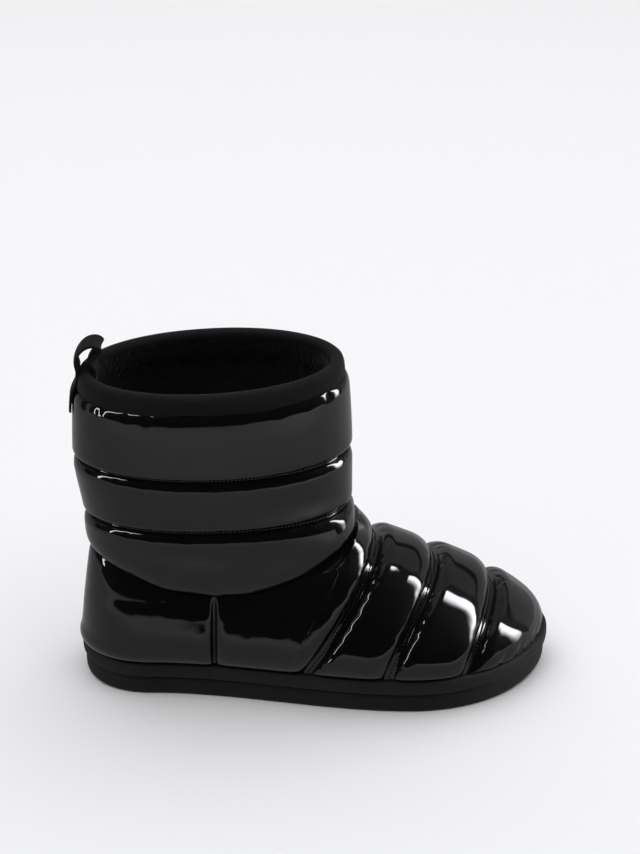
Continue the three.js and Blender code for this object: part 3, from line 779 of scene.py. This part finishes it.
# %% Fleece
fleece, tree, place = new_material("sherpa_fleece")
curl_inputs = {"Vector": place, "Scale": 1 / (2.0 * mm)}
curl = add(tree, "ShaderNodeTexVoronoi", curl_inputs, feature="SMOOTH_F1").outputs["Distance"]
fuzz = noise(tree, place, 0.7, 3.0)
fleece_inputs = {
    "Base Color": tone_between(tree, fuzz, "#070807", "#121311"),
    "Roughness": 0.95,
    "Specular IOR Level": 0.1,
    "Sheen Weight": 0.1,
    "Sheen Roughness": 0.5,
    "Normal": bump(tree, fuzz, 0.3, bump(tree, curl, 0.9, strength=0.9, invert=True)),
}
end_in_shader(tree, fleece_inputs)
print("fleece ready")

# %% Grosgrain ribbon
ribbon, tree, place = new_material("grosgrain_ribbon")
rib_place = add(tree, "ShaderNodeUVMap", uv_map="UVMap").outputs["UV"]
rib_inputs = {"Vector": rib_place, "Scale": 2 * np.pi / 20 / (0.9 * mm), "Distortion": 0.4}
ribs = add(tree, "ShaderNodeTexWave", rib_inputs, bands_direction="X").outputs["Fac"]
lint = noise(tree, place, 0.5)
ribbon_inputs = {
    "Base Color": tone_between(tree, lint, "#0e0e0f", "#18181a"),
    "Roughness": 0.85,
    "Specular IOR Level": 0.12,
    "Sheen Weight": 0.05,
    "Sheen Roughness": 0.4,
    "Normal": bump(tree, lint, 0.08, bump(tree, ribs, 0.12)),
}
end_in_shader(tree, ribbon_inputs)
print("ribbon ready")


# %% Foam and thread
def foam(name, dark, light, pore):
    """EVA foam: two close tones, pores of a size in millimetres, a dull skin."""
    material, tree, place = new_material(name)
    foam_inputs = {
        "Base Color": tone_between(tree, noise(tree, place, 18), dark, light),
        "Roughness": 0.72,
        "Specular IOR Level": 0.3,
        "Normal": bump(tree, noise(tree, place, pore, 4.0), 0.22),
    }
    end_in_shader(tree, foam_inputs)
    return material


midsole_foam = foam("eva_midsole_foam", "#171717", "#1d1d1d", 0.8)
outsole_foam = foam("eva_outsole_foam", "#111111", "#161616", 1.0)
thread, tree, place = new_material("bonded_polyester_thread")
twist = bump(tree, noise(tree, place, 0.4), 0.05)
end_in_shader(tree, {"Base Color": colour("#0e0e0f"), "Roughness": 0.42, "Normal": twist})
print("foam and thread ready")


# %% [markdown]
# The foot is one closed shell. Its outer skin is the fine padded grid, its inner wall has
# the same lines with only a few rows, and rim faces join them at the sole and at the scoop.

# %% Quilted foot
wall_rows, skin_thickness = 9, 3.4


def shell(name, sides):
    """A closed shell from two grids (outer and inner side of the boot).

    The skin moves out along its normals by the padding. The inner wall is the unpadded
    grid at a few of its rows, moved in. Rim faces join the two where a side has an edge.
    """
    columns, rows = sides[-1][1].shape
    inner_rows = np.round(np.linspace(0, 1, wall_rows) * (rows - 1)).astype(int)
    points = np.concatenate([sides[s][0].reshape(-1, 3) for s in (-1, 1)])
    padding = np.concatenate([sides[s][1].ravel() for s in (-1, 1)])
    rim = np.concatenate([sides[s][2].ravel() for s in (-1, 1)])
    raw = [quads(columns, rows, 0, False), quads(columns, rows, columns * rows, True)]
    first, index = welded(points)
    by_side = dict(zip((-1, 1), index.reshape(2, columns, rows)))
    faces = [index[np.concatenate(raw)]]
    base = points[first]
    normal = point_normals(base, faces[0])
    normal[:, 2] *= smooth(rim[first] / puff_round)
    normal /= np.maximum(np.linalg.norm(normal, axis=1, keepdims=True), 1e-9)
    share = np.bincount(index, weights=padding) / np.bincount(index)
    outside = base + normal * share[:, None]
    inside = base - normal * skin_thickness
    for side, grid in by_side.items():
        inner = grid[:, inner_rows] + len(base)
        ring = sides[side][3]
        lining = (inner[:-1, 1:], inner[1:, 1:], inner[1:, :-1], inner[:-1, :-1])
        foot_rim = (grid[:-1, 0], inner[:-1, 0], inner[1:, 0], grid[1:, 0])
        top_rim = (grid[:-1, -1], grid[1:, -1], inner[1:, -1], inner[:-1, -1])
        every = slice(None)
        for corners, kept in ((lining, every), (foot_rim, every), (top_rim, ring[:-1] & ring[1:])):
            corners = corners if side < 0 else corners[::-1]
            faces.append(np.stack([k[kept].ravel() for k in corners], axis=1))
    used, faces = np.unique(np.concatenate(faces), return_inverse=True)
    whole = settle(np.concatenate([outside, inside])[used])
    piece = make_piece(name, whole, faces.reshape(-1, 4), patent)
    surface = settle(outside)
    grids = {side: surface[grid] for side, grid in by_side.items()}
    facing = {side: normal[grid] for side, grid in by_side.items()}
    return piece, grids, facing


foot_sides = {side: foot_side(side) for side in (-1, 1)}
quilted_foot, foot_grid, foot_facing = shell("quilted_foot", foot_sides)
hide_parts("upper")

# %% [markdown]
# The shaft stands on the scooped seam and has three padded channels, with a flat stitched
# strip between them. Its columns lean evenly from the heel's back to the front.


# %% Quilted shaft
def shaft_points(share, side, z):
    """Points of the shaft at a share of the way from back to front and a height."""
    front = np.where(z < throat_height, throat_front, section["front"](z))
    x = mix(section["back"](z), front, share)
    y = side_y(x, z, side)
    return np.stack([x, np.where((share <= 0) | (share >= 1), 0, y), z], axis=-1)


def channel_padding(z, low, high, height=channel_puff, tuck=channel_tuck):
    """Padding's height between two ring seams: a tight tuck below, a round shoulder on top."""
    return height * round_edge((z - low) / tuck) * round_edge((high - z) / channel_shoulder)


# Each row: place along the shaft's length from back (0) to front (1), reach, width, depth, slant
cuff_puckers = [
    (0.05, 9, 0.012, 0.5, 0.0),
    (0.1, 7, 0.01, 0.35, 0.001),
    (0.2, 7, 0.014, 0.35, 0.001),
    (0.28, 8, 0.012, 0.45, -0.001),
    (0.36, 6, 0.012, 0.3, 0.001),
    (0.47, 5, 0.014, 0.2, 0.0),
    (0.62, 6, 0.014, 0.3, 0.001),
    (0.76, 8, 0.012, 0.4, -0.001),
    (0.85, 7, 0.012, 0.4, 0.001),
    (0.93, 9, 0.01, 0.45, 0.0),
]
ring_pucker_places = (0.06, 0.17, 0.26, 0.39, 0.52, 0.64, 0.74, 0.83, 0.9, 0.96)
ring_puckers = [(at, 5, 0.011, 0.16, 0.0) for at in ring_pucker_places]
tuck_rows, side_rows, shoulder_rows = crowd(12), crowd(16)[1:], crowd(18)[1:]
channel_shares = np.concatenate(
    [mix(0, 0.12, tuck_rows), mix(0.12, 0.78, side_rows), mix(0.78, 1, shoulder_rows)]
)
gap_shares = np.array([0.25, 0.5, 0.75])
gap_dip = 0.3


def shaft_side(side):
    """Points, padding and ring flags of one side of the shaft, columns by rows."""
    points, _, _, ring = foot_sides[side]
    x, z = points[ring][:, -1, 0], points[ring][:, -1, 2]
    back = section["back"](z)
    share = np.clip((x - back) / (throat_front - back), 0, 1)
    share[0], share[-1] = 0, 1
    share = share[:, None]
    lower = (lower_ring_height + lower_ring_rise * (x + ankle_back) / shaft_length)[:, None]
    middle = np.full_like(lower, upper_ring_height)
    cuff = np.full_like(lower, shaft_height - binding_height)
    top = np.full_like(lower, shaft_height - ribbon_thickness - fit)
    z = z[:, None]
    rows, padding = [], []
    for low, high in ((z, lower - 2 * ring_gap), (lower, middle - 2 * ring_gap), (middle, cuff)):
        heights = mix(low, high, channel_shares)
        pillow = (lower_puff, lower_tuck) if low is z else (channel_puff, channel_tuck)
        height = channel_padding(heights, low, high, *pillow)
        table = cuff_puckers if high is cuff else ring_puckers
        height = height * puckers(high - heights, share, table)
        height = height * puckers(heights - low, share, ring_puckers)
        rows.append(heights)
        padding.append(height)
        if high is not cuff:
            between = mix(high, high + 2 * ring_gap, gap_shares)
            rows.append(between)
            padding.append(np.full(between.shape, -gap_dip))
    rows.append(mix(cuff, top, np.linspace(0.25, 1, 4)))
    padding.append(np.zeros((len(share), 4)))
    heights, padding = np.concatenate(rows, axis=1), np.concatenate(padding, axis=1)
    grid = shaft_points(np.broadcast_to(share, heights.shape), side, heights)
    away = np.full(heights.shape, shaft_height)
    return grid, padding, away, np.ones(len(share), bool)


shaft_sides = {side: shaft_side(side) for side in (-1, 1)}
quilted_shaft, shaft_grid, shaft_facing = shell("quilted_shaft", shaft_sides)
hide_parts("shaft")

# %% [markdown]
# The sole is two layers of foam. Its outline is the last's lowest section, moved out by a
# ledge. Each layer is a profile carried round that outline.


# %% Sole outlines
def loop_directions(loop):
    """Level directions outwards, square to a closed loop of points."""
    step = np.roll(loop, -1, axis=0) - np.roll(loop, 1, axis=0)
    return unit(np.stack([step[:, 1], -step[:, 0]], axis=1))


def plan_outline(z, steps):
    """Plan of the last at a height: outer side from heel to toe, then the inner side back."""
    t = (1 - np.cos(np.pi * np.linspace(0, 1, steps + 1))) / 2
    x = mix(section["back"](z), section["front"](z), t)
    outer = np.stack([x, side_y(x, z, -1)], axis=1)
    inner = np.stack([x, side_y(x, z, 1)], axis=1)[::-1]
    loop = np.concatenate([outer, inner[1:-1]])
    return loop, loop_directions(loop)


def lumps(points, size, seed):
    """Smooth random heights from -1 to 1: a lattice of a size, blended by smoothsteps."""
    table = np.random.default_rng(seed).random((32, 32, 32))
    cell = np.floor(points / size).astype(int)
    t = smooth(points / size - cell)
    total = np.zeros(len(points))
    for corner in np.ndindex(2, 2, 2):
        weight = np.prod(np.where(corner, t, 1 - t), axis=1)
        i, j, k = ((cell + corner) % 32).T
        total += weight * table[i, j, k]
    return 2 * total - 1


def plate(name, rings, steps, across, finish, relief=None):
    """A closed plate: rings of the plan outline from the lower face to the upper one.

    Each ring is (out, height function, level of the outline). The two faces are filled by
    grids from the outer to the inner side, so that they can carry their own relief.
    """
    size = 2 * steps
    loops = []
    for out, height, level in rings:
        loop, outward = plan_outline(level, steps)
        flat = loop + out * outward
        loops.append(np.column_stack([flat, height(flat[:, 0])]))
    points = [np.concatenate(loops)]
    i = np.arange(size)
    j = (i + 1) % size
    faces = [np.stack([i, j, j + size, i + size], axis=1) + k * size for k in range(len(rings) - 1)]
    for number, flip in ((0, True), (len(rings) - 1, False)):
        ring = loops[number]
        outer = ring[: steps + 1]
        inner = np.concatenate([ring[:1], ring[: steps - 1 : -1]])
        inner[-1] = ring[steps]
        t = np.linspace(0, 1, across + 1)[None, :, None]
        grid = mix(outer[:, None, :], inner[:, None, :], t)
        if relief is not None and number == relief[0]:
            middle = grid[:, 1:-1]
            middle[:, :, 2] += relief[1](middle.reshape(-1, 3)).reshape(middle.shape[:2])
        start = sum(len(p) for p in points)
        points.append(grid.reshape(-1, 3))
        faces.append(quads(steps + 1, across + 1, start, flip))
    points, faces = np.concatenate(points), np.concatenate(faces)
    first, index = welded(points)
    return make_piece(name, points[first], index[faces], finish)


def floor_at(x):
    """Height of the tread: it lifts at the toe and the heel."""
    return toe_spring * toe_lift(x) + heel_bevel * heel_lift(x)


def parting_at(x):
    """Height of the line between the two layers of foam."""
    rise = mix(toe_spring, toe_band_rise, 0.5)
    return outsole_height + rise * toe_lift(x) + heel_bevel * heel_lift(x)


# %% Midsole
sole_steps = 420
outsole_out = ledge - lip_overhang
midsole_profile = [
    # out, share of the way from the parting line to the top
    (outsole_out - 0.4, 0.0),
    (outsole_out + 0.3, 0.01),
    (ledge - 0.55, 0.04),
    (ledge - 0.2, 0.12),
    (ledge, 0.3),
    (ledge + 0.05, 0.5),
    (ledge - 0.05, 0.72),
    (ledge - 0.25, 0.86),
    (ledge - 0.6, 0.95),
    (ledge - 1.1, 1.0),
]
midsole = plate(
    "midsole_band",
    [
        (out, lambda x, share=share: mix(parting_at(x), sole_top_at(x), share), sole_top)
        for out, share in midsole_profile
    ],
    sole_steps,
    2,
    midsole_foam,
)
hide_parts("midsole")


# %% Outsole
def tread(points):
    """Shallow wavy grooves across the tread, 7 mm apart and 1.1 mm deep."""
    wave = np.sin(2 * np.pi * (points[:, 0] + 2.2 * np.sin(points[:, 1] / 5.5)) / 7)
    return 1.1 * smooth((wave - 0.1) / 0.6)


outsole_profile = [
    # out, height over the tread
    (outsole_out - sole_edge_round, 0.0),
    (outsole_out - 0.45 * sole_edge_round, 0.25),
    (outsole_out - 0.12 * sole_edge_round, 0.9),
    (outsole_out, 2.0),
    (outsole_out + 0.1, 4.5),
    (outsole_out + 0.05, 8.0),
]
outsole_rings = [(out, lambda x, up=up: floor_at(x) + up, sole_top) for out, up in outsole_profile]
outsole_rings += [
    (outsole_out - 0.05, lambda x: parting_at(x) - 1.0, sole_top),
    (outsole_out - 0.5, lambda x: parting_at(x) - fit, sole_top),
]
outsole = plate(
    "outsole_slab", outsole_rings, sole_steps, 44, outsole_foam, relief=(0, tread)
)
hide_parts("outsole")

# %% [markdown]
# The lining is a tube of fleece that follows the last just inside the wall. The curls are
# real bumps in the mesh, because they show against the light at the collar.


# %% Fleece lining
def curls(points):
    """Height of the fleece: ridges of two sizes of lumps, 0 to 1."""
    bent = points + 1.2 * np.stack([lumps(points, 3.0, seed) for seed in (3, 4, 5)], axis=1)
    return 1 - 0.6 * np.abs(lumps(bent, 2.6, 7)) - 0.4 * np.abs(lumps(bent, 1.5, 8))


lining_steps, lining_gap = 210, 0.9
slant_half_band, crest_below, crest_band, crest_height = 8, 22, 12, 2.4
foot_levels = np.linspace(sole_top + 1, throat_height, 70)
shaft_levels = np.linspace(throat_height, shaft_height - 3, 90)[1:]
rings = []
for z in (*foot_levels, *shaft_levels):
    loop, outward = plan_outline(z, lining_steps)
    in_foot = smooth((throat_height + slant_half_band - z) / (2 * slant_half_band))
    depth = (wall - lining_gap) * mix(1, wall_slant, in_foot)
    rings.append(np.column_stack([loop - depth * outward, np.full(len(loop), z)]))
base = np.array(rings)
flat = base.reshape(-1, 3)
index = np.arange(len(flat)).reshape(base.shape[:2])
wrap = np.roll(index, -1, axis=1)
faces = np.stack([k.ravel() for k in (index[:-1], index[1:], wrap[1:], wrap[:-1])], axis=1)
inward = point_normals(flat, faces)
crest = smooth((flat[:, 2] - shaft_height + crest_below) / crest_band)
pile = 0.5 + 1.3 * curls(flat) + crest_height * crest
lining = make_piece("fleece_lining", settle(flat + inward * pile[:, None]), faces, fleece)

# %% Fleece insole
insole_rings = [
    # out, share of the way up
    (-insole_fit, 0.0),
    (-insole_fit - 0.2 * insole_height, 0.55),
    (-insole_fit - 0.7 * insole_height, 1.0),
]
insole = plate(
    "fleece_insole",
    [
        (
            out - wall * wall_slant,
            lambda x, up=up: sole_top_at(x) + fit + up * insole_height,
            sole_top + up * insole_height,
        )
        for out, up in insole_rings
    ],
    200,
    70,
    fleece,
    relief=(2, lambda points: 1.0 * curls(points) - 1.0),
)
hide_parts("insole")

# %% [markdown]
# The collar's raw edge is covered by a grosgrain ribbon folded over it and stitched down.
# It is a U-shaped profile carried round the collar, with a soft fold on top.

# %% Collar binding
binding_profile = np.array(
    [
        # out from the wall's outer face, up from the fold
        [fit + 0.2, -binding_height],
        [fit + ribbon_thickness * 0.8, -binding_height - 0.15],
        [fit + ribbon_thickness, -binding_height + 0.5],
        [fit + ribbon_thickness + 0.15, -binding_height + 3.5],
        [fit + ribbon_thickness + 0.1, -binding_height + 6.5],
        [fit + ribbon_thickness - 0.1, -2.9],
        [fit + ribbon_thickness - 0.5, -1.5],
        [fit - 0.3, -0.45],
        [-0.28 * wall, -0.02],
        [-0.62 * wall, 0.0],
        [-wall - 0.2, -0.5],
        [-wall - fit - 0.7, -1.5],
        [-wall - fit - ribbon_thickness, -2.9],
        [-wall - fit - ribbon_thickness, -5.0],
        [-wall - fit - ribbon_thickness, -binding_inside],
        [-wall - fit, -binding_inside - 0.1],
        [-wall - fit, -ribbon_thickness - 1.6],
        [-wall * 0.62, -ribbon_thickness - 0.2],
        [-wall * 0.3, -ribbon_thickness - 0.2],
        [fit, -ribbon_thickness - 1.6],
    ]
)
collar_steps = 230
collar_loop, collar_out = plan_outline(shaft_height - ribbon_thickness - fit, collar_steps)
collar_run = length_along(collar_loop, closed=True)
profile_run = length_along(binding_profile, closed=True)
around, through = len(collar_loop), len(binding_profile)
i = np.arange(around + 1) % around
k = np.arange(through + 1) % through
out, up = binding_profile[k].T
sway = 0.35 * np.sin(collar_run / 11) + 0.2 * np.sin(collar_run / 4.3 + 1)
outer_face = smooth(-up / 8) * (out > -1)
level_z = shaft_height + up + sway[:, None] * outer_face
top_loop, lower_loop = (
    plan_outline(z, collar_steps)[0][i][:, None, :]
    for z in (shaft_height, shaft_height - binding_height)
)
slide = np.clip(-up / binding_height, 0, 1)[None, :, None]
binding_xy = mix(top_loop, lower_loop, slide) + out[None, :, None] * collar_out[i][:, None, :]
binding_points = np.concatenate([binding_xy, level_z[:, :, None]], axis=2).reshape(-1, 3)
binding_uv = np.stack(np.broadcast_arrays(collar_run[:, None], profile_run), axis=2)
binding = make_piece(
    "ribbon_binding",
    settle(binding_points),
    quads(around + 1, through + 1, 0, False),
    ribbon,
    uv=binding_uv.reshape(-1, 2),
)
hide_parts("collar_binding")

# %% [markdown]
# The pull loop is the same ribbon, 15 mm wide. It rises from the outside of the collar,
# bends over in a soft arch and goes down inside.


# %% Pull loop
def smooth_path(points, steps):
    """Even points on a cubic path through points: Catmull-Rom with square-root knots."""
    points = np.asarray(points, float)
    ends = [2 * points[0] - points[1], 2 * points[-1] - points[-2]]
    p = np.vstack([ends[0], points, ends[1]])
    knots = np.append(0, np.cumsum(np.sqrt(np.linalg.norm(np.diff(p, axis=0), axis=1))))
    pieces = []
    for n in range(1, len(p) - 2):
        t = np.linspace(knots[n], knots[n + 1], 40)[:, None]
        blend = lambda a, b, ka, kb: ((kb - t) * a + (t - ka) * b) / (kb - ka)
        a1, a2, a3 = (blend(p[m], p[m + 1], knots[m], knots[m + 1]) for m in (n - 1, n, n + 1))
        b1 = blend(a1, a2, knots[n - 1], knots[n + 1])
        b2 = blend(a2, a3, knots[n], knots[n + 2])
        pieces.append(blend(b1, b2, knots[n], knots[n + 1])[:-1])
    dense = np.vstack([*pieces, points[-1:]])
    run = length_along(dense)
    even = np.linspace(0, run[-1], steps)
    return read_at(even, run, dense), even


loop_arch = np.array(
    [
        # reach inwards, rise over the fold, as shares of the loop's reach and rise
        [-0.03, 0.12],
        [-0.06, 0.36],
        [0.06, 0.7],
        [0.38, 0.96],
        [0.74, 1.0],
        [0.98, 0.84],
        [0.86, 0.66],
        [0.65, 0.54],
        [0.5, 0.38],
        [0.57, 0.24],
        [0.7, 0.13],
    ]
)
path_steps, half_columns = 120, 15
leg_shares = np.array([0, 0.12, 0.24, 0.36, 0.48, 0.6, 0.75, 1])
stack_out = 2 * fit + 1.5 * ribbon_thickness
leg_z = mix(shaft_height - loop_outer_leg, shaft_height, leg_shares)
cuff_height = shaft_height - binding_height
over = channel_padding(leg_z - 2 * ribbon_thickness, upper_ring_height, cuff_height)
leg_x = section["back"](leg_z) - stack_out - np.maximum(over - ribbon_thickness, 0)
inner_z = shaft_height - np.array([0, 0.5, 1]) * loop_inner_leg
inner_x = section["back"](inner_z) + wall + stack_out + 2 * fit
arch_x = float(section["back"](shaft_height)) - stack_out + loop_arch[:, 0] * loop_reach
arch_z = shaft_height + loop_arch[:, 1] * loop_rise
legs_and_arch = [(leg_x, leg_z), (arch_x, arch_z), (inner_x, inner_z)]
path = np.concatenate([np.column_stack(part) for part in legs_and_arch])
path, path_run = smooth_path(path, path_steps)
ahead = unit(np.gradient(path, axis=0))
widths = np.linspace(-1, 1, half_columns)
turn_in = (np.abs(widths * loop_width / 2) / section["heel"](shaft_height)) ** heel_round
heel_run = section["heel_at"](shaft_height) - section["back"](shaft_height)
sag = heel_run * (1 - (1 - turn_in) ** (1 / heel_round))
ring_share = np.concatenate([widths, widths[::-1]])
ring_sag = np.concatenate([sag, sag[::-1]])
ring_half = np.repeat([0.5, -0.5], half_columns) * ribbon_thickness
x = path[:, 0, None] + ring_sag[None, :] - ahead[:, 1, None] * ring_half[None, :]
z = path[:, 1, None] + ahead[:, 0, None] * ring_half[None, :]
y = np.broadcast_to(ring_share * loop_width / 2, x.shape)
loop_points = np.stack([x, y, z], axis=2)
loop_points = np.concatenate([loop_points, loop_points[:, :1]], axis=1)
round_ribbon = np.append(ring_share, -1) * loop_width / 2
loop_uv = np.stack(np.broadcast_arrays(path_run[:, None], round_ribbon), axis=2)
first, index = welded(loop_points.reshape(-1, 3))
pull_loop = make_piece(
    "ribbon_pull_loop",
    settle(loop_points.reshape(-1, 3)[first]),
    index[quads(path_steps, 2 * half_columns + 1, 0, False)],
    ribbon,
    uv=loop_uv.reshape(-1, 2)[first],
)
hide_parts("pull_loop")

# %% [markdown]
# The seams are sewn with a lock stitch of black thread. Each stitch is a small lozenge that
# dips into the leather at both ends, set along the middle of its strip.


# %% Stitches
stitch_pitch, stitch_length, stitch_width = 2.3, 1.75, 1.05
stitch_rings, stitch_corners = 6, 6


def stitch_row(path, facing):
    """Lozenges along a path, every pitch: a six-sided tube that swells and dips its ends."""
    run = length_along(path)
    at = np.arange(stitch_pitch, run[-1] - stitch_pitch / 2, stitch_pitch)
    place = read_at(at, run, path)
    ahead = unit(read_at(at + 0.3, run, path) - place)
    up = read_at(at, run, facing)
    up = unit(up - ahead * np.sum(up * ahead, axis=1, keepdims=True))
    aside = np.cross(up, ahead)
    t = np.linspace(-1, 1, stitch_rings)
    angle = np.linspace(0, 2 * np.pi, stitch_corners + 1)[:-1]
    fat = np.sqrt(np.maximum(1 - t**2, 0.02))[:, None] * stitch_width / 2
    dip = (0.15 - 0.55 * t[:, None] ** 2) * stitch_width
    tube = (np.repeat(t * stitch_length / 2, stitch_corners), fat * np.cos(angle))
    lozenge = np.stack([*map(np.ravel, tube), (fat * np.sin(angle) + dip).ravel()], axis=1)
    axes = np.stack([ahead, aside, up], axis=1)
    points = place[:, None, :] + np.einsum("pk,nkx->npx", lozenge, axes)
    i = np.arange(stitch_rings - 1)[:, None] * stitch_corners
    j = np.arange(stitch_corners)[None, :]
    j_next = (j + 1) % stitch_corners
    corner = (i + j, i + j_next, i + stitch_corners + j_next, i + stitch_corners + j)
    one = np.stack([k.ravel() for k in corner], axis=1)
    faces = one[None] + len(lozenge) * np.arange(len(place))[:, None, None]
    return points.reshape(-1, 3), faces.reshape(-1, 4)


rows_of_stitches = []
first = 0
for panel in panels:
    last = first + len(panel[3]) - 1
    if panel[0].startswith("strip"):
        column = (first + last) // 2
        rows_of_stitches += [(foot_grid[s][column], foot_facing[s][column]) for s in (-1, 1)]
    first = last + 1
channel_rows, gap_rows = len(channel_shares), len(gap_shares)
for row in (channel_rows + 1, 2 * channel_rows + gap_rows + 1):
    rows_of_stitches += [(shaft_grid[s][:, row], shaft_facing[s][:, row]) for s in (-1, 1)]
stitch_points, stitch_faces = [], []
for path, facing in rows_of_stitches:
    points, faces = stitch_row(path, facing)
    stitch_faces.append(faces + sum(len(p) for p in stitch_points))
    stitch_points.append(points)
stitches = make_piece(
    "seam_stitches",
    np.concatenate(stitch_points),
    np.concatenate(stitch_faces),
    thread,
)
